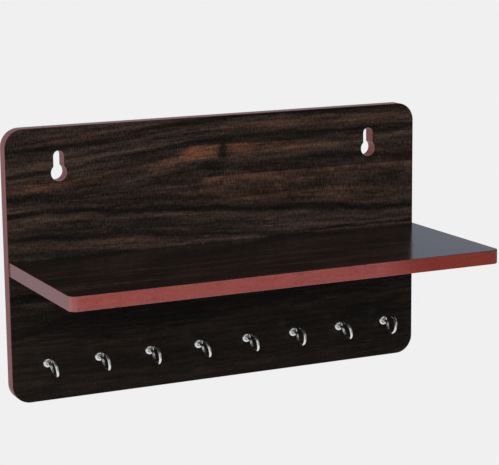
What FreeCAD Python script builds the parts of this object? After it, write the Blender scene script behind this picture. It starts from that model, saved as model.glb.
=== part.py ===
"""Wall key holder: a flat board that hangs on two keyholes, a shelf and a row of cup hooks.

All lengths are in millimetres. The origin is the middle of the board's wall face. +X runs to the
right along the board, +Y points into the wall, and +Z is up. The board's front is at negative Y.
"""
import FreeCAD
import Part
import Sketcher
import math
import os

# How far each hook was turned past upright when it was screwed home, left to right, in degrees.
HOOK_TURNS = (-12.0, -9.0, -6.0, -14.0, -11.0, -2.0, -14.0, 6.0)

# Screws that hold the shelf from behind the board.
SCREW_COUNT = 4

SIZES = (
    ("board_width", 290.0, "board, left to right"),
    ("board_height", 174.0, "board, bottom to top"),
    ("board_thick", 9.0, "board stock"),
    ("board_corner", 12.0, "rounding of the board's four corners"),
    ("shelf_depth", 109.5, "shelf, from the board's front to its own front edge"),
    ("shelf_thick", 9.0, "shelf stock"),
    ("shelf_corner", 5.0, "rounding of the shelf's two front corners"),
    ("shelf_inset", 0.5, "how far each end of the shelf stands in from the board's side"),
    ("shelf_drop", 82.7, "shelf's top face below the board's top edge"),
    ("edge_ease", 0.4, "sanded arris of both boards"),
    ("keyhole_inset", 35.0, "keyhole from the board's side"),
    ("keyhole_drop", 28.9, "middle of the keyhole's round entry below the board's top"),
    ("keyhole_entry", 10.5, "diameter of the round entry"),
    ("keyhole_slot", 7.0, "width of the slot above the entry"),
    ("keyhole_rise", 10.4, "from the middle of the entry up to the middle of the slot's round end"),
    ("hook_margin", 23.2, "first and last hook from the board's sides"),
    ("hook_row_shift", 0.4, "how far the whole row of hooks stands to the right"),
    ("hook_height", 24.7, "hook shanks above the board's bottom edge"),
    ("hook_wire", 1.9, "diameter of the hook's wire"),
    ("hook_reach", 4.6, "straight shank in front of the board"),
    ("hook_bend_radius", 1.6, "first bend, down from the shank"),
    ("hook_bend_turn", 70.0, "turn of the first bend, degrees"),
    ("hook_run", 1.4, "straight wire between the bend and the loop"),
    ("hook_loop_radius", 5.6, "loop, to the middle of the wire"),
    ("hook_loop_turn", 265.0, "turn of the loop, degrees"),
    ("hook_tip_round", 0.8, "rounding of the wire's free end"),
    ("hook_point", 2.2, "length of the thread's gimlet point"),
    ("hook_skin", 1.5, "wood left between the hook's point and the wall face"),
    ("collar_dia", 6.0, "collar pressed on the shank against the board"),
    ("collar_rise", 1.15, "collar's dome in front of the board"),
    ("collar_rim", 0.55, "straight rim of the collar"),
    ("collar_wall", 0.45, "metal of the collar"),
    ("collar_land", 0.3, "flat ring at the top of the dome, around the shank"),
    ("wire_play", 0.05, "gap round the wire in the collar and in the board"),
    ("screw_inset", 40.0, "outer shelf screws from the board's sides"),
    ("screw_dia", 3.0, "shank of the shelf screws"),
    ("screw_length", 25.0, "shelf screw, from the face of its head to its point"),
    ("screw_point", 4.0, "length of the screw's point"),
    ("screw_head", 6.0, "diameter of the countersunk head"),
    ("screw_rim", 0.3, "straight rim of the head"),
    ("screw_sink", 0.3, "how far the head lies below the wall face"),
    ("screw_play", 0.05, "gap round the screw in both boards"),
    ("cross_length", 3.2, "length of each bar of the screw's cross recess"),
    ("cross_width", 0.7, "width of each bar of the cross recess"),
    ("cross_depth", 1.1, "depth of the cross recess"),
)

# Places that more than one piece uses, as expressions on the sheet.
HOOK_PITCH = f"((sizes.board_width - 2 * sizes.hook_margin) / {len(HOOK_TURNS) - 1})"
HOOK_FIRST_X = "(sizes.hook_margin + sizes.hook_row_shift - sizes.board_width / 2)"
HOOK_Z = "(sizes.hook_height - sizes.board_height / 2)"
HOOK_DEPTH = "(sizes.board_thick - sizes.hook_skin)"
WIRE_HOLE = "(sizes.hook_wire / 2 + sizes.wire_play)"
SCREW_PITCH = f"((sizes.board_width - 2 * sizes.screw_inset) / {SCREW_COUNT - 1})"
SCREW_FIRST_X = "(sizes.screw_inset - sizes.board_width / 2)"
SCREW_SEAT = "(sizes.screw_sink + sizes.screw_rim)"
SCREW_CONE = "((sizes.screw_head - sizes.screw_dia) / 2)"
SCREW_HOLE = "(sizes.screw_dia / 2 + sizes.screw_play)"
KEYHOLE_X = "(sizes.board_width / 2 - sizes.keyhole_inset)"
KEYHOLE_Z = "(sizes.board_height / 2 - sizes.keyhole_drop)"
SHELF_Z = "(sizes.board_height / 2 - sizes.shelf_drop - sizes.shelf_thick / 2)"
SHELF_FRONT = "(sizes.board_thick + sizes.shelf_depth)"
SHELF_HALF = "(sizes.board_width / 2 - sizes.shelf_inset)"

document = FreeCAD.newDocument("wall_key_holder")
sheet = document.addObject("Spreadsheet::Sheet", "sizes")


def fill_sheet():
    """Writes every driving size, and the hooks' turns, to the sheet."""
    turns = [(f"hook_turn_{number}", turn, "turn of this hook about its shank, degrees")
             for number, turn in enumerate(HOOK_TURNS, start=1)]
    for row, (alias, value, note) in enumerate(list(SIZES) + turns, start=1):
        sheet.set(f"A{row}", alias)
        sheet.set(f"B{row}", str(value))
        sheet.setAlias(f"B{row}", alias)
        sheet.set(f"C{row}", note)
    document.recompute()


def amount(expression):
    """The number that an expression on the sheet gives."""
    return float(sheet.evalExpression(expression))


def new_body(label):
    body = document.addObject("PartDesign::Body", label)
    body.Label = label
    return body


def origin_feature(body, role):
    """One of the body's own planes or axes, such as XZ_Plane or X_Axis."""
    return next(item for item in body.Origin.OriginFeatures if item.Role == role)


def new_sketch(body, name, plane, offset="0", lift="0"):
    """A sketch on a plane of the body, moved along the plane's normal and up by expressions."""
    sketch = body.newObject("Sketcher::SketchObject", name)
    sketch.AttachmentSupport = (origin_feature(body, plane), [""])
    sketch.MapMode = "FlatFace"
    sketch.setExpression("AttachmentOffset.Base.z", f"({offset}) * 1 mm")
    sketch.setExpression("AttachmentOffset.Base.y", f"({lift}) * 1 mm")
    document.recompute()
    return sketch


def bind(sketch, kind, places, expression):
    """Adds one dimension to a sketch and ties it to an expression."""
    index = sketch.addConstraint(Sketcher.Constraint(kind, *places, amount(expression)))
    sketch.setExpression(f"Constraints[{index}]", expression)


def bind_angle(sketch, arc, expression):
    """Ties the angle that an arc spans to an expression in degrees."""
    span = FreeCAD.Units.Quantity(amount(expression), FreeCAD.Units.Angle)
    index = sketch.addConstraint(Sketcher.Constraint("Angle", arc, span))
    sketch.setExpression(f"Constraints[{index}]", f"{expression} * 1 deg")


def pin(sketch, curve, end, across, up):
    """Ties one end or centre of a curve to a place measured from the sketch's origin."""
    bind(sketch, "DistanceX", (-1, 1, curve, end), across)
    bind(sketch, "DistanceY", (-1, 1, curve, end), up)


def point(across, up):
    return FreeCAD.Vector(across, up, 0)


def polygon(sketch, corners):
    """A closed outline of straight lines; each corner is a pair of expressions."""
    points = [point(amount(across), amount(up)) for across, up in corners]
    lines = [sketch.addGeometry(Part.LineSegment(start, end), False)
             for start, end in zip(points, points[1:] + points[:1])]
    for line, following in zip(lines, lines[1:] + lines[:1]):
        sketch.addConstraint(Sketcher.Constraint("Coincident", line, 2, following, 1))
    for line, (across, up) in zip(lines, corners):
        pin(sketch, line, 1, across, up)


def rectangle(sketch, left, right, bottom, top):
    polygon(sketch, ((left, bottom), (right, bottom), (right, top), (left, top)))


def circle(sketch, across, up, radius):
    shape = Part.Circle(point(amount(across), amount(up)), FreeCAD.Vector(0, 0, 1), amount(radius))
    index = sketch.addGeometry(shape, False)
    bind(sketch, "Radius", (index,), radius)
    pin(sketch, index, 3, across, up)


def volume_of(body):
    """Volume of the body so far, or nothing before its first feature."""
    solid = body.Tip is not None and not body.Tip.Shape.isNull()
    return body.Tip.Shape.Volume if solid else 0.0


def settle(body, feature, before, cuts):
    """Recomputes a feature, and stops if it took nothing away or added nothing."""
    body.Tip = feature
    document.recompute()
    change = feature.Shape.Volume - before
    if change == 0 or (change < 0) != cuts:
        raise RuntimeError(f"{feature.Name} changed the volume by {change:.3f}")
    return feature


def extrude(body, kind, name, sketch, length, backwards=False):
    """A Pad or a Pocket of a sketch by a length given as an expression."""
    before = volume_of(body)
    feature = body.newObject(f"PartDesign::{kind}", name)
    feature.Profile = sketch
    feature.setExpression("Length", length)
    feature.Reversed = backwards
    return settle(body, feature, before, kind == "Pocket")


def turn_round(body, kind, name, sketch):
    """A Revolution or a Groove of a sketch about the sketch's own horizontal axis."""
    before = volume_of(body)
    feature = body.newObject(f"PartDesign::{kind}", name)
    feature.Profile = sketch
    feature.ReferenceAxis = (sketch, ["H_Axis"])
    feature.Angle = 360.0
    return settle(body, feature, before, kind == "Groove")


def repeat_along_x(body, name, cut, count, pitch):
    """A row of copies of one cut, to the right of the first."""
    before = volume_of(body)
    row = body.newObject("PartDesign::LinearPattern", name)
    row.Originals = [cut]
    row.Direction = (origin_feature(body, "X_Axis"), [""])
    row.Occurrences = count
    row.setExpression("Length", f"{pitch} * {count - 1}")
    return settle(body, row, before, True)


def mirror_across(body, name, cut):
    """The same cut on the other side of the body's middle plane."""
    before = volume_of(body)
    pair = body.newObject("PartDesign::Mirrored", name)
    pair.Originals = [cut]
    pair.MirrorPlane = (origin_feature(body, "YZ_Plane"), [""])
    return settle(body, pair, before, True)


def fillet(body, name, base, edges, radius):
    before = volume_of(body)
    feature = body.newObject("PartDesign::Fillet", name)
    feature.Base = (base, edges)
    feature.setExpression("Radius", radius)
    return settle(body, feature, before, True)


def near(first, second):
    return abs(first - second) < 1e-4


def edges_where(shape, test):
    """Names of the edges whose ends and middle all pass a test on a point."""
    names = []
    for index, edge in enumerate(shape.Edges, start=1):
        middle = edge.valueAt((edge.FirstParameter + edge.LastParameter) / 2)
        places = [vertex.Point for vertex in edge.Vertexes] + [middle]
        if all(test(place) for place in places):
            names.append(f"Edge{index}")
    return names


def build_backboard():
    """The flat board, with its keyholes, the hooks' pilot holes and the shelf's screw holes."""
    body = new_body("backboard")
    outline = new_sketch(body, "board_outline", "XZ_Plane")
    rectangle(outline, "-sizes.board_width / 2", "sizes.board_width / 2",
              "-sizes.board_height / 2", "sizes.board_height / 2")
    board = extrude(body, "Pad", "board", outline, "sizes.board_thick")

    side = amount("sizes.board_width / 2")
    end = amount("sizes.board_height / 2")
    front = -amount("sizes.board_thick")
    corners = edges_where(board.Shape, lambda p: near(abs(p.x), side) and near(abs(p.z), end))
    rounded = fillet(body, "board_corners", board, corners, "sizes.board_corner")
    arrises = edges_where(rounded.Shape, lambda p: near(p.y, 0) or near(p.y, front))
    fillet(body, "board_arris", rounded, arrises, "sizes.edge_ease")

    keyhole = new_sketch(body, "keyhole_outline", "XZ_Plane")
    draw_keyhole(keyhole)
    cut = extrude(body, "Pocket", "keyhole", keyhole, "sizes.board_thick", backwards=True)
    mirror_across(body, "keyhole_pair", cut)

    pilot = new_sketch(body, "hook_pilot_outline", "XZ_Plane", offset="sizes.board_thick")
    circle(pilot, HOOK_FIRST_X, HOOK_Z, WIRE_HOLE)
    cut = extrude(body, "Pocket", "hook_pilot", pilot, f"{HOOK_DEPTH} + sizes.wire_play")
    repeat_along_x(body, "hook_pilots", cut, len(HOOK_TURNS), HOOK_PITCH)

    profile = new_sketch(body, "screw_hole_profile", "YZ_Plane", SCREW_FIRST_X, SHELF_Z)
    head_hole = "sizes.screw_head / 2 + sizes.screw_play"
    polygon(profile, (
        ("0", "0"),
        ("0", head_hole),
        (f"-{SCREW_SEAT}", head_hole),
        (f"-{SCREW_SEAT} - {SCREW_CONE}", SCREW_HOLE),
        ("-sizes.board_thick", SCREW_HOLE),
        ("-sizes.board_thick", "0"),
    ))
    cut = turn_round(body, "Groove", "screw_hole", profile)
    repeat_along_x(body, "screw_holes", cut, SCREW_COUNT, SCREW_PITCH)
    return body


def draw_keyhole(sketch):
    """The right-hand keyhole: a round entry, and above it a narrower slot that ends in an arc."""
    across = amount(KEYHOLE_X)
    low = amount(KEYHOLE_Z)
    high = low + amount("sizes.keyhole_rise")
    entry = amount("sizes.keyhole_entry / 2")
    half = amount("sizes.keyhole_slot / 2")
    meet = low + (entry ** 2 - half ** 2) ** 0.5
    left, right = across - half, across + half
    curves = (
        Part.Arc(point(left, meet), point(across, low - entry), point(right, meet)),
        Part.LineSegment(point(right, meet), point(right, high)),
        Part.Arc(point(right, high), point(across, high + half), point(left, high)),
        Part.LineSegment(point(left, high), point(left, meet)),
    )
    round_entry, right_side, round_end, left_side = sketch.addGeometry(list(curves), False)
    sketch.addConstraint(Sketcher.Constraint("Coincident", round_entry, 2, right_side, 1))
    sketch.addConstraint(Sketcher.Constraint("Coincident", left_side, 2, round_entry, 1))
    sketch.addConstraint(Sketcher.Constraint("Tangent", right_side, 2, round_end, 1))
    sketch.addConstraint(Sketcher.Constraint("Tangent", round_end, 2, left_side, 1))
    sketch.addConstraint(Sketcher.Constraint("Vertical", right_side))
    bind(sketch, "Radius", (round_entry,), "sizes.keyhole_entry / 2")
    bind(sketch, "Radius", (round_end,), "sizes.keyhole_slot / 2")
    pin(sketch, round_entry, 3, KEYHOLE_X, KEYHOLE_Z)
    pin(sketch, round_end, 3, KEYHOLE_X, f"{KEYHOLE_Z} + sizes.keyhole_rise")
    sketch.addConstraint(Sketcher.Constraint("Vertical", left_side))


def build_shelf():
    """The shelf, butted against the board's front, with pilot holes for its screws."""
    body = new_body("shelf")
    outline = new_sketch(body, "shelf_outline", "XY_Plane", f"{SHELF_Z} - sizes.shelf_thick / 2")
    rectangle(outline, f"-{SHELF_HALF}", SHELF_HALF, f"-{SHELF_FRONT}", "-sizes.board_thick")
    plate = extrude(body, "Pad", "shelf_plate", outline, "sizes.shelf_thick")

    side = amount(SHELF_HALF)
    front = -amount(SHELF_FRONT)
    rear = -amount("sizes.board_thick")
    bottom = amount(f"{SHELF_Z} - sizes.shelf_thick / 2")
    top = amount(f"{SHELF_Z} + sizes.shelf_thick / 2")
    corners = edges_where(plate.Shape, lambda p: near(abs(p.x), side) and near(p.y, front))
    rounded = fillet(body, "shelf_corners", plate, corners, "sizes.shelf_corner")
    outer = edges_where(rounded.Shape, lambda p: near(p.z, bottom) or near(p.z, top))
    butted = edges_where(rounded.Shape, lambda p: near(p.y, rear))
    arrises = [name for name in outer if name not in butted]
    fillet(body, "shelf_arris", rounded, arrises, "sizes.edge_ease")

    pilot = new_sketch(body, "screw_pilot_outline", "XZ_Plane", offset="sizes.board_thick")
    circle(pilot, SCREW_FIRST_X, SHELF_Z, SCREW_HOLE)
    depth = "sizes.screw_length + sizes.screw_sink + sizes.screw_play - sizes.board_thick"
    cut = extrude(body, "Pocket", "screw_pilot", pilot, depth, backwards=True)
    repeat_along_x(body, "screw_pilots", cut, SCREW_COUNT, SCREW_PITCH)
    return body


def draw_hook_path(sketch, root):
    """The wire's middle line: shank, a bend down, a straight run and the loop back over the top.

    The sketch's horizontal axis is the shank and its origin is on the board's front. The shank
    starts inside the board, at root, and the loop lies to the left, in front of the board.
    """
    reach = amount("sizes.hook_reach")
    bend_radius = amount("sizes.hook_bend_radius")
    loop_radius = amount("sizes.hook_loop_radius")
    turn = math.radians(amount("sizes.hook_bend_turn"))
    sweep = math.radians(amount("sizes.hook_loop_turn"))
    down = point(-math.cos(turn), -math.sin(turn))
    across = point(-math.sin(turn), math.cos(turn))
    bend_centre = point(-reach, -bend_radius)
    run_start = bend_centre + across * bend_radius
    run_end = run_start + down * amount("sizes.hook_run")
    loop_centre = run_end + across * loop_radius
    loop_first = turn - math.pi / 2

    def arc(centre, radius, first, last):
        return Part.ArcOfCircle(Part.Circle(centre, FreeCAD.Vector(0, 0, 1), radius), first, last)

    curves = (
        Part.LineSegment(point(amount(root), 0), point(-reach, 0)),
        arc(bend_centre, bend_radius, math.pi / 2, math.pi / 2 + turn),
        Part.LineSegment(run_start, run_end),
        arc(loop_centre, loop_radius, loop_first - sweep, loop_first),
    )
    shank, bend, run, loop = sketch.addGeometry(list(curves), False)
    pin(sketch, shank, 1, root, "0")
    sketch.addConstraint(Sketcher.Constraint("Horizontal", shank))
    sketch.addConstraint(Sketcher.Constraint("Tangent", shank, 2, bend, 1))
    sketch.addConstraint(Sketcher.Constraint("Tangent", bend, 2, run, 1))
    sketch.addConstraint(Sketcher.Constraint("Tangent", run, 2, loop, 2))
    bind(sketch, "Distance", (shank,), f"{root} + sizes.hook_reach")
    bind(sketch, "Radius", (bend,), "sizes.hook_bend_radius")
    bind(sketch, "Distance", (run,), "sizes.hook_run")
    bind(sketch, "Radius", (loop,), "sizes.hook_loop_radius")
    bind_angle(sketch, bend, "sizes.hook_bend_turn")
    bind_angle(sketch, loop, "sizes.hook_loop_turn")


def set_in_row(body, number, turn="0"):
    """Places a hook or its collar in the row, turned about the shank by an expression."""
    body.Placement = FreeCAD.Placement(point(0, 0), FreeCAD.Rotation(FreeCAD.Vector(0, 1, 0), 1))
    body.setExpression("Placement.Base.x", f"({HOOK_FIRST_X} + {number - 1} * {HOOK_PITCH}) * 1 mm")
    body.setExpression("Placement.Base.y", "-sizes.board_thick * 1 mm")
    body.setExpression("Placement.Base.z", f"{HOOK_Z} * 1 mm")
    body.setExpression("Placement.Rotation.Angle", f"{turn} * 1 deg")


def build_hook(number):
    """A cup hook bent from one wire, with a gimlet point behind and a rounded free end."""
    body = new_body(f"cup_hook_{number}")
    root = f"({HOOK_DEPTH} - sizes.hook_point)"
    path = new_sketch(body, f"hook_path_{number}", "YZ_Plane")
    draw_hook_path(path, root)
    section = new_sketch(body, f"hook_section_{number}", "XZ_Plane", offset=f"-{root}")
    circle(section, "0", "0", "sizes.hook_wire / 2")
    wire = body.newObject("PartDesign::AdditivePipe", f"hook_wire_{number}")
    wire.Profile = section
    wire.Spine = path
    settle(body, wire, 0.0, False)

    profile = new_sketch(body, f"hook_point_profile_{number}", "YZ_Plane")
    polygon(profile, ((root, "0"), (HOOK_DEPTH, "0"), (root, "sizes.hook_wire / 2")))
    pointed = turn_round(body, "Revolution", f"hook_point_{number}", profile)

    ends = [face for face in pointed.Shape.Faces if isinstance(face.Surface, Part.Plane)]
    rims = [f"Edge{index}" for index, edge in enumerate(pointed.Shape.Edges, start=1)
            if any(edge.isSame(rim) for face in ends for rim in face.Edges)]
    fillet(body, f"hook_tip_{number}", pointed, rims, "sizes.hook_tip_round")
    set_in_row(body, number, f"sizes.hook_turn_{number}")
    return body


def build_collar(number):
    """The pressed cup on a hook's shank: a thin, shallow dome that runs out into a flat land round the wire."""
    body = new_body(f"hook_collar_{number}")
    profile = new_sketch(body, f"collar_profile_{number}", "YZ_Plane")
    outer = "sizes.collar_dia / 2"
    inner = f"{outer} - sizes.collar_wall"
    land = f"{WIRE_HOLE} + sizes.collar_land"
    crown = "-sizes.collar_rise"
    under = f"{crown} + sizes.collar_wall"
    corners = (
        ("-sizes.collar_rim", inner),
        ("0", inner),
        ("0", outer),
        ("-sizes.collar_rim", outer),
        (crown, land),
        (crown, WIRE_HOLE),
        (under, WIRE_HOLE),
        (under, land),
    )
    places = [point(amount(along), amount(up)) for along, up in corners]
    dome = corners.index(("-sizes.collar_rim", outer))
    curves = [Part.LineSegment(start, end) for start, end in zip(places, places[1:] + places[:1])]
    rim, crest = places[dome], places[dome + 1]
    rise, width = rim.x - crest.x, rim.y - crest.y
    radius = (rise ** 2 + width ** 2) / (2 * rise)
    first = math.atan2(width, rise - radius)
    round_dome = Part.Circle(point(crest.x + radius, crest.y), FreeCAD.Vector(0, 0, 1), radius)
    curves[dome] = Part.ArcOfCircle(round_dome, first, math.pi)
    lines = profile.addGeometry(curves, False)
    for line, following in zip(lines, lines[1:] + lines[:1]):
        kind = "Tangent" if line == lines[dome] else "Coincident"
        profile.addConstraint(Sketcher.Constraint(kind, line, 2, following, 1))
    for line, (along, up) in zip(lines, corners):
        pin(profile, line, 1, along, up)
    turn_round(body, "Revolution", f"collar_{number}", profile)
    set_in_row(body, number)
    return body


def build_screw(number):
    """A countersunk wood screw from the wall side through the board into the shelf."""
    body = new_body(f"shelf_screw_{number}")
    profile = new_sketch(body, f"screw_profile_{number}", "YZ_Plane")
    tip = "-(sizes.screw_sink + sizes.screw_length)"
    polygon(profile, (
        ("-sizes.screw_sink", "0"),
        ("-sizes.screw_sink", "sizes.screw_head / 2"),
        (f"-{SCREW_SEAT}", "sizes.screw_head / 2"),
        (f"-{SCREW_SEAT} - {SCREW_CONE}", "sizes.screw_dia / 2"),
        (f"{tip} + sizes.screw_point", "sizes.screw_dia / 2"),
        (tip, "0"),
    ))
    turn_round(body, "Revolution", f"screw_{number}", profile)

    cross = new_sketch(body, f"cross_outline_{number}", "XZ_Plane", offset="sizes.screw_sink")
    long, short = "sizes.cross_length / 2", "sizes.cross_width / 2"
    polygon(cross, (
        (short, short), (long, short), (long, f"-{short}"), (short, f"-{short}"),
        (short, f"-{long}"), (f"-{short}", f"-{long}"), (f"-{short}", f"-{short}"),
        (f"-{long}", f"-{short}"), (f"-{long}", short), (f"-{short}", short),
        (f"-{short}", long), (short, long),
    ))
    extrude(body, "Pocket", f"cross_recess_{number}", cross, "sizes.cross_depth", backwards=True)
    body.setExpression("Placement.Base.x", f"({SCREW_FIRST_X} + {number - 1} * {SCREW_PITCH}) * 1 mm")
    body.setExpression("Placement.Base.z", f"{SHELF_Z} * 1 mm")
    return body


def check(bodies):
    """Stops at any object that failed and at any piece that isn't one sound solid."""
    failed = [item.Name for item in document.Objects if {"Invalid", "Error"} & set(item.State)]
    if failed:
        raise RuntimeError(f"failed: {', '.join(failed)}")
    for body in bodies:
        shape = body.Shape
        if shape.isNull() or not shape.isValid() or len(shape.Solids) != 1:
            raise RuntimeError(f"{body.Label} is not one sound solid")


def main():
    fill_sheet()
    bodies = [build_backboard(), build_shelf()]
    for number in range(1, len(HOOK_TURNS) + 1):
        bodies.append(build_hook(number))
        bodies.append(build_collar(number))
    for number in range(1, SCREW_COUNT + 1):
        bodies.append(build_screw(number))
    document.recompute()
    check(bodies)
    os.makedirs("parts", exist_ok=True)
    for body in bodies:
        body.Shape.exportStep(f"parts/{body.Label}.step")
        print(f"{body.Label}: {body.Shape.Volume:.1f} mm3")


main()
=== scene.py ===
"""Looks of the wall key holder: laminated boards with painted edges, plated cup hooks and collars.

Lengths are in metres in the part's frame. The origin is the middle of the board's wall face, +X runs
to the right, +Y goes into the wall and +Z is up. Sizes written with MM are millimetres.
"""
import math

import bmesh
import bpy
import numpy as np
from mathutils import Matrix, Vector

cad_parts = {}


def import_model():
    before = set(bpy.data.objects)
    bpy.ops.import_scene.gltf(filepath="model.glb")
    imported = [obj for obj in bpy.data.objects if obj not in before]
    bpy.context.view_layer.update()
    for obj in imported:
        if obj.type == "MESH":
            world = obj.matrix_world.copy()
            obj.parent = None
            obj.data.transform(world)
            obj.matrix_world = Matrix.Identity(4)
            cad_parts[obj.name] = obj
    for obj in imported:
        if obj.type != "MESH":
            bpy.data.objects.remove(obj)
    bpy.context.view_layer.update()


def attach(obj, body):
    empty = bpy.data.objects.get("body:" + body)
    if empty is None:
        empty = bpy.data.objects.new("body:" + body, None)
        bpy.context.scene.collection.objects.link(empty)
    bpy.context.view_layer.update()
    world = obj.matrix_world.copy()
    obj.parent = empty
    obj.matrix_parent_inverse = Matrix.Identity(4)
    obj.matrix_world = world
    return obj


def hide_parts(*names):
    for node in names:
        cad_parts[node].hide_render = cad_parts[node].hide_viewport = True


MM = 0.001

BOARD_WIDTH = 290 * MM
BOARD_HEIGHT = 174 * MM
BOARD_THICK = 9 * MM
BOARD_CORNER = 12 * MM
EDGE_EASE = 0.4 * MM
HOLE_EASE = 0.20 * MM
EASE_STEPS = 4

SHELF_HALF = 144.5 * MM
SHELF_FRONT = -118.5 * MM
SHELF_TOP = 4.3 * MM
SHELF_THICK = 9 * MM
SHELF_CORNER = 5 * MM

KEYHOLE_X = 110 * MM
KEYHOLE_Z = 58.1 * MM
KEYHOLE_ENTRY = 5.25 * MM
KEYHOLE_SLOT = 3.5 * MM
KEYHOLE_RISE = 10.4 * MM

HOOK_COUNT = 8
HOOK_FIRST_X = -121.4 * MM
HOOK_PITCH = 34.8 * MM
HOOK_Z = -62.3 * MM
HOOK_TURNS = (-12, -9, -6, -14, -11, -2, -14, 6)
HOOK_SHANK = 7.5 * MM
HOOK_REACH = 4.6 * MM
HOOK_BEND = 1.6 * MM
HOOK_RUN = 1.4 * MM
HOOK_LOOP = 5.6 * MM
HOOK_DOWN = math.radians(70)
HOOK_BACK = math.radians(265)
WIRE = 0.95 * MM
WIRE_TIP = 0.8 * MM

SCREW_X = (-105 * MM, -35 * MM, 35 * MM, 105 * MM)
SCREW_Z = -0.2 * MM
SCREW_SINK = 0.3 * MM
SCREW_HOLE = 3.05 * MM

# Scales object coordinates to millimetres.
IN_MM = (1000, 1000, 1000)


class Signal:
    """A socket of a node tree. Arithmetic on it, with numbers or other signals, adds Math nodes."""

    def __init__(self, tree, socket):
        self.tree = tree
        self.socket = socket

    def maths(self, operation, *inputs):
        return self.tree.add("ShaderNodeMath", {"operation": operation}, dict(enumerate(inputs)))

    def __add__(self, other):
        return self.maths("ADD", self, other)

    def __sub__(self, other):
        return self.maths("SUBTRACT", self, other)

    def __rsub__(self, other):
        return self.maths("SUBTRACT", other, self)

    def __mul__(self, other):
        return self.maths("MULTIPLY", self, other)

    __radd__ = __add__
    __rmul__ = __mul__

    def most(self, other):
        return self.maths("MAXIMUM", self, other)

    def size(self):
        return self.maths("ABSOLUTE", self)

    def ramp(self, low, high, start=0.0, end=1.0):
        """Goes smoothly from start to end while the signal goes from low to high."""
        settings = {"interpolation_type": "SMOOTHSTEP"}
        return self.tree.add("ShaderNodeMapRange", settings,
                             {0: self, 1: low, 2: high, 3: start, 4: end})


class Nodes:
    """The nodes of one material or of the world."""

    def __init__(self, owner):
        owner.use_nodes = True
        self.owner = owner
        self.tree = owner.node_tree
        self.tree.nodes.clear()

    def add(self, kind, settings=None, inputs=None, output=0):
        """Adds a node: its settings first, a ramp's stops among them, then values or links."""
        node = self.tree.nodes.new(kind)
        for name, value in (settings or {}).items():
            if name == "stops":
                self.set_stops(node.color_ramp, value)
            else:
                setattr(node, name, value)
        for name, value in (inputs or {}).items():
            socket = node.inputs[name]
            if isinstance(value, Signal):
                self.tree.links.new(value.socket, socket)
            else:
                socket.default_value = value
        return Signal(self, node.outputs[output]) if len(node.outputs) else node

    @staticmethod
    def set_stops(ramp, stops):
        """Gives a ramp its stops, each a place and a colour."""
        while len(ramp.elements) < len(stops):
            ramp.elements.new(1.0)
        for element, (place, colour) in zip(ramp.elements, stops):
            element.position = place
            element.color = (*colour, 1.0)

    def place(self, scale):
        """Object coordinates times a scale for each axis."""
        spot = self.add("ShaderNodeTexCoord", output="Object")
        return self.add("ShaderNodeVectorMath", {"operation": "MULTIPLY"}, {0: spot, 1: scale})

    def parts(self, vector):
        """The three numbers of a vector."""
        split = self.add("ShaderNodeSeparateXYZ", inputs={0: vector})
        return [Signal(self, socket) for socket in split.socket.node.outputs]

    def noise(self, vector, detail=2.0, roughness=0.5, scale=1.0):
        """Soft noise from 0 to 1 with its middle near a half."""
        return self.add("ShaderNodeTexNoise", {"noise_dimensions": "3D"},
                        {"Vector": vector, "Scale": scale, "Detail": detail, "Roughness": roughness})

    def grain(self, along, across, seed, **settings):
        """Noise for a print: of a scaled place along the wood, one across it and a seed."""
        spot = self.add("ShaderNodeCombineXYZ", inputs={0: along, 1: across, 2: seed})
        return self.noise(spot, **settings)

    def blend(self, factor, first, second, how="MIX"):
        """Mixes two colours, each a link or three numbers."""
        first, second = (c if isinstance(c, Signal) else (*c, 1.0) for c in (first, second))
        settings = {"data_type": "RGBA", "blend_type": how}
        return self.add("ShaderNodeMix", settings, {0: factor, 6: first, 7: second}, output=2)

    def colour_ramp(self, factor, *stops):
        return self.add("ShaderNodeValToRGB", {"stops": stops}, {0: factor})

    def bump(self, height, distance, strength, under=None):
        """A normal from a height of 0 to 1 that stands for a distance in metres."""
        inputs = {"Height": height, "Distance": distance, "Strength": strength}
        if under is not None:
            inputs["Normal"] = under
        return self.add("ShaderNodeBump", inputs=inputs)

    def surface(self, ior=1.5, **inputs):
        """Ends a material in one Principled shader."""
        named = {name.replace("_", " "): value for name, value in inputs.items()}
        named["IOR"] = ior
        shader = self.add("ShaderNodeBsdfPrincipled", inputs=named)
        self.add("ShaderNodeOutputMaterial", inputs={"Surface": shader})
        return self.owner


def new_finish(name):
    return Nodes(bpy.data.materials.new(name))


# Dark lines in the board's print: height at its left end and half the width, in mm, and how dark.
DARK_LINES = (
    (71.0, 2.0, 0.75), (57.0, 1.0, 0.55), (42.0, 0.9, 0.40), (33.2, 1.1, 0.90), (26.5, 0.6, 0.25),
    (18.0, 1.3, 0.85), (7.5, 1.8, 0.40),
)
# Figures in it: middle along and up, half length and half height, in mm, slope, and how brown.
BROWN_FIGURES = (
    (-13, 63.5, 19, 5.0, 0.11, 1.00), (-37, 58.5, 14, 3.8, 0.26, 0.42), (17, 65.8, 17, 4.2, 0.00, 0.76),
    (40, 64.2, 24, 3.6, 0.00, 0.46), (66, 63.5, 26, 3.2, 0.00, 0.32), (78, 79.0, 85, 4.8, 0.00, 0.23),
    (-98, 79.5, 50, 4.6, 0.08, 0.12), (-115, 50.0, 40, 3.2, 0.09, 0.48), (-68, 55.0, 34, 3.2, 0.14, 0.24),
    (40, 33.0, 100, 5.0, -0.06, 0.30), (88, 23.0, 60, 3.2, -0.06, 0.20), (-112, 27.0, 46, 3.6, 0.00, 0.12),
    (-108, 11.5, 55, 3.2, -0.02, 0.24), (-86, -58.0, 26, 5.0, 0.00, 0.30),
    (-140, -66.0, 16, 3.0, 0.00, 0.20),
)
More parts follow.
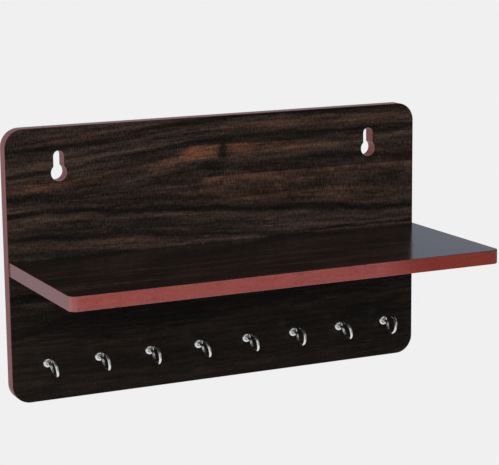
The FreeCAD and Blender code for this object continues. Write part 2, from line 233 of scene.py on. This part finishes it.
# The same, and how dark. Those under the shelf, below 0 mm up, are painted shadow of the shelf over the
# print's darker wood, and the thin ones 6 to 7.4 mm up are painted shade along the joint just above the
# shelf.
DARK_FIGURES_AND_SHADE = (
    (2, 62.0, 3.6, 8.0, 0.00, 0.66), (-4, 53.5, 11, 5.6, 0.00, 0.80), (25, 70.8, 56, 3.0, 0.00, 0.34),
    (-122, 41.5, 40, 3.4, 0.00, 0.50), (100, 6.0, 70, 1.4, 0.00, 0.80), (0, 7.4, 50, 1.2, 0.00, 0.45),
    (62, 53.5, 62, 4.2, 0.00, 0.36), (-50, 35.0, 56, 6.0, -0.04, 0.22), (0, -36.0, 260, 15.0, 0.00, 0.75),
    (-70, -42.0, 130, 13.0, 0.00, 1.00), (0, -66.0, 320, 46.0, 0.00, 0.62),
    (-145, -14.0, 24, 20.0, 0.00, 0.80), (-22, 20.0, 66, 8.0, 0.00, 0.18),
    (115, -62.0, 60, 34.0, 0.00, 0.70), (118, 70.5, 44, 3.2, 0.00, 0.50), (-2, 11.8, 30, 1.2, -0.03, 0.60),
)


def board_print_and_shade(nodes, x, y, z):
    """The board's print: its grain lines, and how dark, how brown, how light and how vivid the wood is.

    The lines fan out to the right: those above the middle rise and those below it fall. A figure is an
    ellipse with a ragged outline. A pale strip starts in the middle and runs right, under 47.6 mm.
    Under the shelf the wood is darker and its grain calmer: painted shadow of the shelf over the print's
    own darker wood. A thin dark line just above the shelf is painted shade in the joint.
    """
    rise = x.ramp(-160, 20) * z.ramp(25, 66, 0, 15.5)
    fall = x.ramp(-150, 140) * z.ramp(8, 62, 17, 0) * z.ramp(-30, 4)
    sway = nodes.grain(x * 0.030, z * 0.05, 4.4) * 5.0 - 2.5
    line = z - rise + fall + sway
    uneven = nodes.grain(x * 0.03, line * 0.3, 8.8, detail=1.0).ramp(0.20, 0.60, 0.50, 1)
    ragged = nodes.grain(x * 0.07, z * 0.55, 1.7, detail=4.0, roughness=0.65) * 2.6 - 1.3

    def with_figures(signal, figures):
        for middle, height, length, tall, slope, strength in figures:
            aside = x - middle
            along = aside * (1 / length)
            up = (z + sway - height - aside * slope) * (1 / tall)
            away = along * along + up * up + ragged
            signal = away.ramp(-0.3, 1.5, strength, 0).most(signal)
        return signal

    dark = 0.0
    for height, half, strength in DARK_LINES:
        dark = (line - height).size().ramp(0, half * 2.5, strength, 0).most(dark)
    dark = with_figures(dark * uneven, DARK_FIGURES_AND_SHADE)
    below = 47.6 - z + sway * 0.15
    strip = below.ramp(-0.4, 0.3) * below.ramp(13, 0.8) * x.ramp(-18, -6)
    light = strip * uneven.ramp(0.45, 1, 0.55, 0.72)
    brown = (light * 0.5).most(with_figures(0.0, BROWN_FIGURES)) * (1 - dark)
    return line, dark, brown, light.most(brown), z.ramp(-50, -10, 0.44, 1)


def shelf_print_and_shade(nodes, x, y, z):
    """The same for the shelf: soft straight grain in brown patches, darker and calmer behind."""
    across = y + z
    line = across + (nodes.grain(x * 0.008, across * 0.014, 9.0, detail=1.0) - 0.5) * 14.0
    patches = nodes.grain(x * 0.014, line * 0.06, 32.3)
    # Painted shade makes the shelf darker toward the back, where it meets the board. It is also a little
    # darker to the right, and its grain is calmer behind.
    dark = y.ramp(-90, -30, 0, 0.28) + x.ramp(-70, 60, 0, 0.10)
    brown, light = patches.ramp(0.42, 0.78, 0.38, 0.7), patches.ramp(0.42, 0.78, 0.06, 0.5)
    return line, dark, brown, light, y.ramp(-90, -30, 1, 0.65)


def wood_laminate(name, print_and_shade, seed, contrast, middle, rough, ior):
    """Printed dark wood on a smooth melamine face, its grain along X.

    Both boards are cut along the grain, so the place along it is x, and the place across it is y + z,
    which runs down the upright board and out along the flat shelf. The tone is middle + contrast *
    grain noise, lighter and darker where the print says so, and darker still where shade is painted in.
    """
    nodes = new_finish(name)
    x, y, z = nodes.parts(nodes.place(IN_MM))
    line, dark, brown, light, vivid = print_and_shade(nodes, x, y, z)
    middle_line = (line + (y + z)) * 0.5
    band = nodes.grain(x * 0.006, line * 0.12, seed + 7.7) - 0.5
    streak = nodes.grain(x * 0.028, middle_line * 0.45, seed + 11.3, roughness=0.6) - 0.5
    fibre = nodes.grain(x * 0.13, middle_line * 1.1, seed + 17.9, detail=2.5, roughness=0.7) - 0.5
    fleck = nodes.grain(x * 1.1, middle_line * 0.42, seed + 29.9, roughness=0.7) - 0.5
    grainy = band * 0.6 + streak * 0.65 + fibre * 0.52 + fleck * 0.80
    tone = grainy * contrast * vivid + middle + 0.33 * light - 0.38 * dark
    wood = nodes.colour_ramp(
        tone,
        (0.15, (0.0040, 0.0034, 0.0026)),
        (0.34, (0.0105, 0.0077, 0.0060)),
        (0.52, (0.0275, 0.0175, 0.0137)),
        (0.70, (0.0580, 0.0370, 0.0280)),
        (0.95, (0.1250, 0.0790, 0.0570)),
    )
    wood = nodes.blend(brown, wood, (1.85, 1.06, 0.66), "MULTIPLY")

    pores = fibre.ramp(-0.20, 0.02)
    relief = nodes.bump(pores * 0.7 + streak * 0.3, 0.05 * MM, 0.25)
    cloud = nodes.grain(x * 0.05, line * 0.2, seed, detail=1.0)
    gloss = rough + 0.06 * cloud + (1 - pores) * 0.05
    return nodes.surface(Base_Color=wood, Roughness=gloss, Normal=relief, ior=ior)


def edge_paint(name):
    """Brownish red paint brushed on the fibreboard's edges, a little uneven along and across.

    The right end of the shelf's front is darker and redder. The shelf's left end is paler: a painted sheen,
    the pale room's reflection at that grazing end.
    """
    nodes = new_finish(name)
    spot = nodes.place(IN_MM)
    x, y, _ = nodes.parts(spot)
    cloud = nodes.noise(spot, detail=3.0, scale=0.06)
    brush = nodes.noise(nodes.place((55, 55, 900)), roughness=0.6)
    grit = nodes.noise(spot, detail=3.0, roughness=0.7, scale=0.6)
    tone = cloud * 0.25 + brush * 0.30 + grit * 0.65 - 0.10
    paint = nodes.colour_ramp(
        tone,
        (0.30, (0.222, 0.046, 0.040)),
        (0.50, (0.288, 0.066, 0.058)),
        (0.70, (0.345, 0.088, 0.079)),
    )
    # The right end of the shelf's front is made darker and redder.
    redder_right_end = x.ramp(54, 92) * y.ramp(-108, -114)
    paint = nodes.blend(redder_right_end * 0.95, paint, (0.75, 0.46, 0.38), "MULTIPLY")
    # Painted sheen: the shelf's left end is made paler, as a reflection of the pale room would make it.
    thin = x.ramp(-142.0, -144.3) * y.ramp(-9, -14)
    paint = nodes.blend(thin * 0.45, paint, (0.33, 0.21, 0.20))
    relief = nodes.bump(grit, 0.06 * MM, 0.35, nodes.bump(brush, 0.10 * MM, 0.30))
    return nodes.surface(Base_Color=paint, Roughness=0.25 + 0.06 * cloud, Normal=relief)


def cut_edge(name):
    """The dark matt line where a shown face is sanded round to the edge and paint has run over it."""
    nodes = new_finish(name)
    wear = nodes.noise(nodes.place((60, 400, 400)), detail=3.0, roughness=0.6)
    tone = nodes.blend(wear.ramp(0.42, 0.70), (0.020, 0.0085, 0.0075), (0.075, 0.022, 0.020))
    return nodes.surface(Base_Color=tone, Roughness=0.55 + 0.2 * wear, ior=1.35)


def plated_steel(name, colour, rough, wear):
    """Bright plating: a mirror with faint cloudy wear and fine marks from drawing the wire."""
    nodes = new_finish(name)
    spot = nodes.place(IN_MM)
    cloud = nodes.noise(spot, detail=3.0, scale=0.55)
    marks = nodes.noise(spot, scale=6.0)
    worn = tuple(0.72 * c for c in colour)
    tint = nodes.blend(cloud.ramp(0.40, 0.75) * wear, colour, worn)
    relief = nodes.bump(marks, 0.004 * MM, 0.5)
    gloss = rough + 0.10 * cloud * wear
    return nodes.surface(Base_Color=tint, Metallic=1.0, Roughness=gloss, Normal=relief)


def quads_of(rows, columns, start=0, join_rows=False):
    """Quads over points stored row by row. The last column joins the first, and the last row if asked."""
    row = np.arange(rows if join_rows else rows - 1)[:, None]
    column = np.arange(columns)
    here = row * columns + column
    beside = row * columns + (column + 1) % columns
    above = (row + 1) % rows * columns + column
    corner = (row + 1) % rows * columns + (column + 1) % columns
    return start + np.stack((here, beside, corner, above), axis=-1).reshape(-1, 4)


def close_up(mesh, crease=35):
    """Merges doubles, turns every face outwards and keeps edges sharp where faces turn by the crease."""
    build = bmesh.new()
    build.from_mesh(mesh)
    bmesh.ops.remove_doubles(build, verts=build.verts, dist=1e-7)
    bmesh.ops.recalc_face_normals(build, faces=build.faces)
    build.to_mesh(mesh)
    build.free()
    mesh.shade_smooth()
    mesh.set_sharp_from_angle(angle=math.radians(crease))


def skin(name, rings, ends="poles"):
    """A mesh over a stack of closed rings, an array of rows, points around and three numbers.

    ends is poles where each end closes in a point at the middle of its ring, or loop where the last
    ring joins the first.
    """
    rows, columns = rings.shape[:2]
    points = rings.reshape(-1, 3)
    faces = quads_of(rows, columns, join_rows=ends == "loop").tolist()
    if ends == "poles":
        points = np.concatenate((points, rings[[0, -1]].mean(axis=1)))
        around = np.arange(columns)
        following = (around + 1) % columns
        last = (rows - 1) * columns
        low = np.stack((following, around, np.full(columns, rows * columns)), axis=1)
        high = np.stack((last + around, last + following, np.full(columns, rows * columns + 1)), axis=1)
        faces += low.tolist() + high.tolist()
    mesh = bpy.data.meshes.new(name)
    mesh.from_pydata(points, [], faces)
    close_up(mesh)
    return mesh


def plate(name, walls, place):
    """A flat board: walls round its outline and its holes, and two flat faces between the walls.

    A wall point is outline + inset * inward at a depth below the first face, for every point of the
    wall's outline and every (inset, depth) pair of its profile. The first ring lies on the first face,
    or closes a blind hole, and the last ring lies on the second face. Faces use the first material,
    walls the second and the half of the eased edge nearest the first face the third.
    """
    points, faces, finish, lids = [], [], [], {"first": [], "second": []}
    start = 0
    for outline, inward, profile, blind in walls:
        inset, depth = profile[:, 0, None, None], profile[:, 1, None, None]
        flat = outline[None] + inset * inward[None]
        deep = np.broadcast_to(depth, (*flat.shape[:2], 1))
        points.append(place(np.concatenate((flat, deep), axis=2)).reshape(-1, 3))
        rows, columns = flat.shape[:2]
        faces += quads_of(rows, columns, start).tolist()
        cut = 0 if blind else EASE_STEPS // 2
        finish += np.repeat([2] * cut + [1] * (rows - 1 - cut), columns).tolist()
        ring = np.arange(columns)
        if blind:
            lids[f"blind{start}"] = [start + ring]
        else:
            lids["first"].append(start + ring)
        lids["second"].append(start + (rows - 1) * columns + ring)
        start += rows * columns

    mesh = bpy.data.meshes.new(name)
    mesh.from_pydata(np.concatenate(points), [], faces)
    mesh.polygons.foreach_set("material_index", finish)
    build = bmesh.new()
    build.from_mesh(mesh)
    build.verts.ensure_lookup_table()
    for rings in lids.values():
        edges = []
        for ring in rings:
            pairs = zip(ring, np.roll(ring, -1))
            edges += [build.edges.get((build.verts[a], build.verts[b])) for a, b in pairs]
        made = bmesh.ops.triangle_fill(build, edges=edges, use_beauty=True)
        for face in made["geom"]:
            if isinstance(face, bmesh.types.BMFace):
                face.material_index = 0
    build.to_mesh(mesh)
    build.free()
    close_up(mesh, crease=40)
    return mesh


def add_piece(name, mesh, finishes, slot, *nodes):
    """Links a mesh as a piece of the object that stands for CAD nodes."""
    piece = bpy.data.objects.new(name, mesh)
    bpy.context.scene.collection.objects.link(piece)
    for finish in finishes:
        mesh.materials.append(finish)
    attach(piece, "root")
    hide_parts(*nodes)
    return piece


def weigh_normals(piece):
    """Keeps the flat faces flat beside their narrow rounded edges."""
    modifier = piece.modifiers.new("even shading", "WEIGHTED_NORMAL")
    modifier.keep_sharp = True
    modifier.weight = 100


def eased_wall(thick, ease):
    """(inset, depth) pairs down a wall: a quarter round of radius ease, the flat, the round again."""
    turn = np.linspace(0, math.pi / 2, EASE_STEPS + 1)
    top = np.stack((ease * (1 - np.sin(turn)), ease * (1 - np.cos(turn))), axis=1)
    return np.concatenate((top, top[::-1] * (1, -1) + (0, thick)))


def arc_directions(first, last, steps):
    """Unit directions at even steps from one angle to another, in degrees."""
    turn = np.radians(np.linspace(first, last, steps + 1))
    return np.stack((np.cos(turn), np.sin(turn)), axis=1)


def board_outline():
    """Corner centre + corner radius * direction, a quarter turn at each of the four corners."""
    steps = 20
    direction = np.concatenate([arc_directions(90 * k, 90 * k + 90, steps) for k in range(4)])
    signs = np.repeat(((1, 1), (-1, 1), (-1, -1), (1, -1)), steps + 1, axis=0)
    reach = (BOARD_WIDTH / 2 - BOARD_CORNER, BOARD_HEIGHT / 2 - BOARD_CORNER)
    return signs * reach + BOARD_CORNER * direction, -direction


def keyhole_outline(side):
    """A round entry below and a narrower slot above that ends in a half circle.

    Points are the centre + radius * direction. Where slot and entry meet, the inward direction d has
    d . n = 1 for the normals n of both, so both walls keep the same inset.
    """
    open_half = math.degrees(math.asin(KEYHOLE_SLOT / KEYHOLE_ENTRY))
    entry = arc_directions(90 - open_half, open_half - 270, 40)
    top = arc_directions(180, 0, 24)
    mitre = (1 - entry[0, 0]) / entry[0, 1]
    entry_inward = entry.copy()
    entry_inward[0] = (1, mitre)
    entry_inward[-1] = (-1, mitre)
    points = np.concatenate((KEYHOLE_ENTRY * entry, KEYHOLE_SLOT * top + (0, KEYHOLE_RISE)))
    centre = (side * KEYHOLE_X, KEYHOLE_Z)
    return points + centre, np.concatenate((entry_inward, top))


def build_backboard(*finishes):
    """The board, with its keyholes and the countersunk holes behind."""
    def place(spots):
        return np.stack((spots[..., 0], spots[..., 2] - BOARD_THICK, spots[..., 1]), axis=-1)

    walls = [(*board_outline(), eased_wall(BOARD_THICK, EDGE_EASE), False)]
    for side in (-1, 1):
        walls.append((*keyhole_outline(side), eased_wall(BOARD_THICK, HOLE_EASE), False))
    around = arc_directions(0, 360, 48)[:-1]
    sunk = np.array(((-1.5, -2.1), (0, -0.6), (0, -0.1), (0.1, 0))) * MM + (0, BOARD_THICK)
    for x in SCREW_X:
        walls.append((SCREW_HOLE * around + (x, SCREW_Z), around, sunk, True))
    mesh = plate("back_board", walls, place)
    weigh_normals(add_piece("back_board", mesh, finishes, "laminate", "backboard"))


def build_shelf(*finishes):
    """The shelf: rounded front corners, eased ends and front, and a square rear edge on the board."""
    def place(spots):
        return np.stack((spots[..., 0], spots[..., 1], SHELF_TOP - spots[..., 2]), axis=-1)

    steps = 14
    left = arc_directions(180, 270, steps)
    right = arc_directions(270, 360, steps)
    across = SHELF_HALF - SHELF_CORNER
    front = SHELF_FRONT + SHELF_CORNER
    outline = np.concatenate((
        ((-SHELF_HALF, -BOARD_THICK),),
        SHELF_CORNER * left + (-across, front),
        SHELF_CORNER * right + (across, front),
        ((SHELF_HALF, -BOARD_THICK),),
    ))
    inward = np.concatenate((((1, 0),), -left, -right, ((-1, 0),)))
    walls = [(outline, inward, eased_wall(SHELF_THICK, EDGE_EASE), False)]
    mesh = plate("shelf_board", walls, place)
    weigh_normals(add_piece("shelf_board", mesh, finishes, "laminate", "shelf"))


def thread_height(turns):
    """Height of a wood thread, 0 at the root and 1 at the crest, for a count of turns: a narrow ridge."""
    return np.clip(1.25 - 3.4 * np.abs(turns % 1.0 - 0.5), 0, 1)


def full_turn(count):
    """Angles at even steps round a circle, as one row."""
    return np.linspace(0, 2 * math.pi, count, endpoint=False)[None]


def wire_rings(length, centre, across, up, radius):
    """Rings round a line: centre + radius * (cos a * across + sin a * up), radius by place and angle."""
    turn = full_turn(28)
    reach = radius(length[:, None], turn)[..., None]
    return (centre[:, None] + reach * (np.cos(turn)[..., None] * across[:, None]
                                       + np.sin(turn)[..., None] * up[:, None]))


def turned_rings(out, radius, turn):
    """Rings about the axis that leaves the board: (radius * cos a, -out, radius * sin a)."""
    out, radius, turn = np.broadcast_arrays(out, radius, turn)
    return np.stack((radius * np.cos(turn), -out, radius * np.sin(turn)), axis=-1)


def hook_base(number):
    """Where a hook's shank leaves the board's front."""
    return np.array((HOOK_FIRST_X + HOOK_PITCH * (number - 1), -BOARD_THICK, HOOK_Z))


def hook_knots():
    """Lengths along the wire, 0 at the board's front, where the shank starts and each bend starts or ends."""
    runs = (HOOK_SHANK + HOOK_REACH, HOOK_BEND * HOOK_DOWN, HOOK_RUN, HOOK_LOOP * HOOK_BACK)
    return np.cumsum((0, *runs)) - HOOK_SHANK


def hook_wire(length):
    """The wire's middle line by its own length, from the front of the board: out, up and heading.

    The heading is level along the shank, swings down by 70 degrees, holds, then swings up and back by
    265 degrees round the loop. Place is the running sum of the heading's cosine and sine.
    """
    knots = hook_knots()
    headings = (0, 0, -HOOK_DOWN, -HOOK_DOWN, HOOK_BACK - HOOK_DOWN)
    fine = np.linspace(knots[0], knots[-1], 6001)
    heading = np.interp(fine, knots, headings)
    middle = (heading[1:] + heading[:-1]) / 2
    step = fine[1] - fine[0]
    out = np.concatenate(((0,), np.cumsum(np.cos(middle)))) * step + knots[0]
    up = np.concatenate(((0,), np.cumsum(np.sin(middle)))) * step
    return (np.interp(length, fine, out), np.interp(length, fine, up), np.interp(length, fine, heading))


def build_hook(number, finish):
    """A cup hook: a gimlet point and a wood thread behind, a plain bent wire with a rounded end in front."""
    point_length, thread_end, fade_length, pitch = 2.2 * MM, -0.9 * MM, 0.8 * MM, 0.95 * MM
    tip_start = hook_knots()[-1] - WIRE_TIP
    threaded = np.linspace(-HOOK_SHANK, -0.6 * MM, 110)
    plain = np.linspace(-0.5 * MM, tip_start, 130)
    tip = tip_start + WIRE_TIP * np.sin(np.linspace(0.12, math.pi / 2 - 0.02, 9))
    length = np.concatenate((threaded, plain, tip))
    out, up, heading = hook_wire(length)

    def radius(place, turn):
        point = np.clip((place + HOOK_SHANK) / point_length, 0.02, 1)
        fade = np.clip((thread_end - place) / fade_length, 0, 1)
        ridge = thread_height(place / pitch + turn / (2 * math.pi))
        core = 1 - 0.30 * fade * (1 - ridge)
        rounded = np.clip(place - tip_start, 0, WIRE_TIP)
        return WIRE * point * core - WIRE_TIP + np.sqrt(WIRE_TIP ** 2 - rounded ** 2)

    swing = math.radians(HOOK_TURNS[number - 1])
    side = np.array((math.cos(swing), 0, -math.sin(swing)))
    rise = np.array((math.sin(swing), 0, math.cos(swing)))
    forth = np.array((0, -1, 0))
    centre = hook_base(number) + out[:, None] * forth + up[:, None] * rise
    across = np.broadcast_to(side, centre.shape)
    normal = np.cos(heading)[:, None] * rise - np.sin(heading)[:, None] * forth
    mesh = skin(f"hook_wire_{number}", wire_rings(length, centre, across, normal, radius))
    add_piece(f"hook_wire_{number}", mesh, (finish,), "hook_chrome", f"cup_hook_{number}")


def build_collar(number, finish):
    """A thin domed cup pressed on the shank, open behind, with a flat land round the wire.

    The dome is the arc through the top of the straight wall and the edge of the land, level at the
    land: its radius is (rise^2 + run^2) / (2 * rise). The hollow is the outside moved back by the
    wall's thickness and kept inside the rim. Numbers are (out, radius) in millimetres.
    """
    rim, land, height, wall, hole, straight = 3.0, 1.3, 1.15, 0.45, 1.0, 0.55
    rise, run = height - straight, rim - land
    dome = (rise ** 2 + run ** 2) / (2 * rise)
    arc = arc_directions(math.degrees(math.asin(run / dome)) * 0.94, 0, 14)[:, ::-1]
    outer = np.stack((height - dome + dome * arc[:, 1], land + dome * arc[:, 0]), axis=1)
    inner = np.minimum(outer - (wall, 0), (height, rim - wall))
    lip = ((height - 0.03, 1.12), (height - 0.12, 1.03), (height - 0.25, hole), (height - wall, hole))
    foot = ((0, rim - wall), (0, rim - 0.12), (0.04, rim - 0.03), (0.12, rim),
            (straight - 0.12, rim), (straight - 0.02, rim - 0.03))
    profile = np.concatenate((foot, outer, lip, inner[::-1])) * MM
    rings = turned_rings(profile[:, 0, None], profile[:, 1, None], full_turn(64))
    mesh = skin(f"collar_{number}", hook_base(number) + rings, ends="loop")
    add_piece(f"collar_{number}", mesh, (finish,), "collar_chrome", f"hook_collar_{number}")


def build_screw(number, finish):
    """A countersunk wood screw: a cross recess in its face, a cone, a plain neck, a thread and a point.

    The recess is deep where the place is near one of its two arms and within their reach, with smooth
    walls, and shallower at the arms' ends. Lengths are in millimetres.
    """
    head, neck, long, pitch, thread_start, point_length = 3.0, 1.5, 25.0, 1.35, 8.2, 4.0
    arm_half, arm_reach, recess = 0.35, 1.6, 1.1
    turn = full_turn(96)
    face = np.linspace(0.05, head - 0.1, 44)[:, None]
    x, z = np.abs(face * np.cos(turn)), np.abs(face * np.sin(turn))
    arm, reach = np.minimum(x, z) / arm_half, np.maximum(x, z) / arm_reach
    cut = np.clip((1.12 - arm) / 0.24, 0, 1) * np.clip((1.06 - reach) / 0.12, 0, 1)
    depth = recess * (1 - 0.5 * np.clip(reach, 0, 1)) * cut * cut * (3 - 2 * cut)

    cone = np.array(((0.02, head - 0.03), (0.08, head), (0.3, head), (0.36, head - 0.04),
                     (1.74, neck + 0.08), (1.95, neck)))
    along = np.linspace(2.2, long, 330)[:, None]
    ridge = thread_height(along / pitch + turn / (2 * math.pi))
    threaded = np.clip(along - thread_start, 0, 1)
    point = np.clip((long - along) / point_length, 0.01, 1)
    shank = neck * (1 - 0.32 * threaded * (1 - ridge)) * point
    rings = np.concatenate((
        turned_rings(depth, face, turn),
        turned_rings(cone[:, 0, None], cone[:, 1, None], turn),
        turned_rings(along, shank, turn),
    ))
    base = np.array((SCREW_X[number - 1], -SCREW_SINK, SCREW_Z))
    mesh = skin(f"screw_{number}", base + rings * MM)
    add_piece(f"screw_{number}", mesh, (finish,), "screw_steel", f"shelf_screw_{number}")


def add_camera():
    """The photograph's viewpoint, in front of the board, to its left and above."""
    yaw, pitch, roll = 0.4466650, -0.1873724, 0.0101262
    place = (-0.48263, -1.06030, 0.22935)
    focal_pixels, photo_pixels, sensor = 1803.2, 499, 36
    forward = Vector((math.sin(yaw) * math.cos(pitch), math.cos(yaw) * math.cos(pitch), math.sin(pitch)))
    right = Vector((math.cos(yaw), -math.sin(yaw), 0))
    down = forward.cross(right)
    across = math.cos(roll) * right + math.sin(roll) * down
    below = math.cos(roll) * down - math.sin(roll) * right
    camera = bpy.data.cameras.new("camera")
    camera.sensor_width = sensor
    camera.sensor_fit = "HORIZONTAL"
    camera.lens = focal_pixels * sensor / photo_pixels
    camera.clip_end = 200
    viewer = bpy.data.objects.new("camera", camera)
    bpy.context.scene.collection.objects.link(viewer)
    turn = Matrix((across, -below, -forward)).transposed()
    viewer.matrix_world = Matrix.Translation(place) @ turn.to_4x4()
    bpy.context.scene.camera = viewer


def add_softbox(name, place, aim, width, height, power, diffuse=True, gloss=True):
    light = bpy.data.lights.new(name, "AREA")
    light.shape = "RECTANGLE"
    light.size = width
    light.size_y = height
    light.energy = power
    lamp = bpy.data.objects.new(name, light)
    bpy.context.scene.collection.objects.link(lamp)
    lamp.location = place
    lamp.visible_diffuse = diffuse
    lamp.visible_glossy = gloss
    lamp.visible_camera = False
    lamp.rotation_euler = (Vector(aim) - Vector(place)).to_track_quat("-Z", "Y").to_euler()


def add_floor(backdrop):
    """A wide floor of the backdrop's own colour, which the object doesn't reflect."""
    half, height = 60.0, -0.75
    nodes = new_finish("floor_matt")
    finish = nodes.surface(Base_Color=(0, 0, 0, 1), Roughness=1.0, Specular_IOR_Level=0.0,
                           Emission_Color=(*backdrop, 1), Emission_Strength=1.0)
    corners = [(x, y, height) for y in (-half, half) for x in (-half, half)]
    mesh = bpy.data.meshes.new("floor")
    mesh.from_pydata(corners, [], [(0, 1, 3, 2)])
    mesh.materials.append(finish)
    floor = bpy.data.objects.new("floor", mesh)
    bpy.context.scene.collection.objects.link(floor)
    floor.visible_diffuse = False
    floor.visible_glossy = False


def add_room(backdrop):
    """The backdrop that the camera sees, and the room that lights the object and shows in its gloss.

    The room is set by direction. In front it is dark, with a pale corner low on the left and a pale
    panel. Behind it is grey, bluer to the right, up to a dark ceiling. Below it is pale.
    """
    world = bpy.data.worlds.new("studio")
    bpy.context.scene.world = world
    nodes = Nodes(world)
    x, y, z = nodes.parts(nodes.add("ShaderNodeTexCoord", output="Generated"))
    dark, pale, ground = (0.09, 0.09, 0.09), (0.65, 0.65, 0.65), (0.75, 0.75, 0.75)
    grey, blue_grey = (0.43, 0.43, 0.45), (0.368, 0.407, 0.485)
    front = nodes.blend(x.ramp(0.12, -0.02) * z.ramp(0.14, 0.0), dark, pale)
    panel = x.ramp(-0.26, -0.14) * x.ramp(0.62, 0.50) * z.ramp(0.06, 0.16) * z.ramp(0.62, 0.50)
    front = nodes.blend(panel, front, pale)
    back = nodes.blend(x.ramp(-0.50, -0.10), grey, blue_grey)
    back = nodes.blend(z.ramp(0.30, 0.60), back, dark)
    room = nodes.blend(y.ramp(0.0, 0.40), front, back)
    room = nodes.blend(z.ramp(-0.62, -0.36), ground, room)
    seen = nodes.add("ShaderNodeLightPath", output="Is Camera Ray")
    colour = nodes.blend(seen, room, backdrop)
    light = nodes.add("ShaderNodeBackground", inputs={"Color": colour, "Strength": 1.0})
    nodes.add("ShaderNodeOutputWorld", inputs={"Surface": light})


def add_studio():
    """A pale floor and backdrop, the room, a large soft light in front and two small ones."""
    backdrop = (0.871, 0.871, 0.871)
    add_floor(backdrop)
    add_room(backdrop)
    add_softbox("front_light", (-0.76, -1.43, 0.56), (0, -0.03, 0), 1.1, 1.0, 20, gloss=False)
    add_softbox("overhead_light", (-0.10, -0.30, 1.25), (0, -0.05, 0), 0.6, 0.5, 1.5)
    add_softbox("right_card", (1.10, -0.45, -0.15), (0, -0.02, -0.06), 0.5, 0.7, 0.5, diffuse=False)


def main():
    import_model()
    bpy.context.scene.view_settings.view_transform = "Standard"
    paint = edge_paint("edge_paint")
    cut = cut_edge("laminate_cut_edge")
    board_face = wood_laminate("board_laminate", board_print_and_shade, seed=2.0, contrast=1.0, middle=0.555,
                               rough=0.20, ior=1.33)
    shelf_face = wood_laminate("shelf_laminate", shelf_print_and_shade, seed=9.0, contrast=2.0, middle=0.265,
                               rough=0.12, ior=1.44)
    build_backboard(board_face, paint, cut)
    build_shelf(shelf_face, paint, cut)
    chrome = plated_steel("hook_plating", (0.92, 0.92, 0.92), rough=0.06, wear=0.4)
    collar_chrome = plated_steel("collar_plating", (0.90, 0.90, 0.90), rough=0.06, wear=0.4)
    zinc = plated_steel("screw_zinc", (0.60, 0.59, 0.55), rough=0.26, wear=1.0)
    for number in range(1, HOOK_COUNT + 1):
        build_hook(number, chrome)
        build_collar(number, collar_chrome)
    for number in range(1, len(SCREW_X) + 1):
        build_screw(number, zinc)
    add_camera()
    add_studio()


main()
